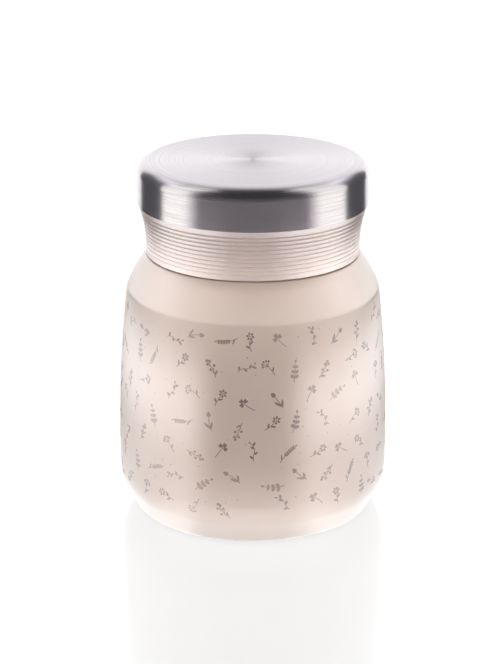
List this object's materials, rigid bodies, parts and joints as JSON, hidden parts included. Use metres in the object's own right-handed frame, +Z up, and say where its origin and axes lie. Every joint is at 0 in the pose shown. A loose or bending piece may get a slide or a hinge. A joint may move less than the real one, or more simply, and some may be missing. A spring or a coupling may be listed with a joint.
{
  "type": "insulated food jar",
  "caption": "Squat double-walled vacuum food jar with a rounded shoulder, threaded neck and a screw-on lid with a grooved flared grip ring and a spun steel cap.",
  "frame": {"origin": "on the table, under the middle of the jar, at the underside of the silicone base pad", "axes": "+Z up along the jar's axis through the lid; -Y is the side seen from the front, +X to its right"},
  "size_m": [0.092, 0.092, 0.121],
  "materials": {
    "coated_steel": "matte powder coat in warm beige",
    "inner_steel": "satin, electropolished",
    "cap_steel": "spun top, brushed side",
    "foil": "bright foil",
    "grip_plastic": "matte moulded, warm beige",
    "lid_plastic": "matte moulded, warm beige",
    "liner_plastic": "smooth moulded",
    "silicone": "matte silicone",
    "foam": "expanded foam",
    "getter_metal": "bare",
    "getter_powder": "pressed powder",
    "seal_glass": "fused bead"
  },
  "bodies": {
    "jar": {"outer_shell": "coated_steel", "inner_vessel": "inner_steel", "inner_vessel_bottom": "inner_steel", "radiation_foil": "foil", "vacuum_base": "inner_steel", "vacuum_seal": "seal_glass", "getter_cup": "getter_metal", "getter_pellet": "getter_powder", "base_cover": "lid_plastic", "base_pad": "silicone"},
    "gasket": {"lid_gasket": "silicone"},
    "lid": {"lid_body": "lid_plastic", "lid_liner": "liner_plastic", "lid_foam": "foam", "grip_ring": "grip_plastic", "lid_steel_cap": "cap_steel"}
  },
  "joints": [
    {"name": "lid_rise", "type": "slide", "parent": "jar", "child": "gasket", "axis": [0, 0, 1], "range_m": [0, 0.018]},
    {"name": "lid_unscrew", "type": "hinge", "parent": "gasket", "child": "lid", "pos_m": [0, 0, 0], "axis": [0, 0, 1], "range_deg": [0, 720]}
  ],
  "couplings": [
    {"joint": "lid_rise", "follows": "lid_unscrew", "m_per_rad": 0.0014324}
  ]
}
